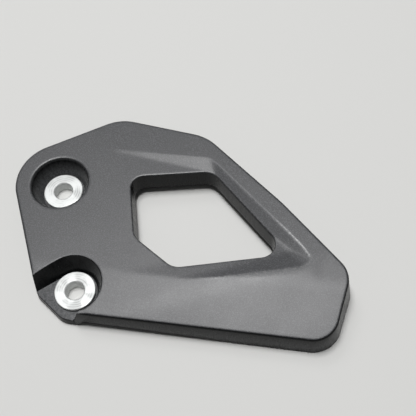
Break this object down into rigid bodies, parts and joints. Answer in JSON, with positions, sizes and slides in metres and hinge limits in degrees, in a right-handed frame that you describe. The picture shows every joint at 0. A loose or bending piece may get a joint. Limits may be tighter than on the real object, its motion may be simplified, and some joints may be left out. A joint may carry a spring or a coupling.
{
  "type": "heel guard",
  "caption": "Moulded motorbike heel guard: a black plate with a window, a raised border and a sloping front band, fixed through flanged aluminium bushes in screw recesses.",
  "frame": {"origin": "middle of the footprint, on the surface that the guard lies on", "axes": "+X along the straight front edge towards the heel end, +Y away from the front edge, +Z out of the face that shows in use"},
  "size_m": [0.1214, 0.0778, 0.0126],
  "materials": {
    "moulding": "black glass-filled nylon with a fine moulded grain",
    "bush": "turned aluminium, left bright"
  },
  "bodies": {
    "root": {"guard_plate": "moulding", "bush_upper": "bush", "bush_lower": "bush"}
  },
  "joints": []
}
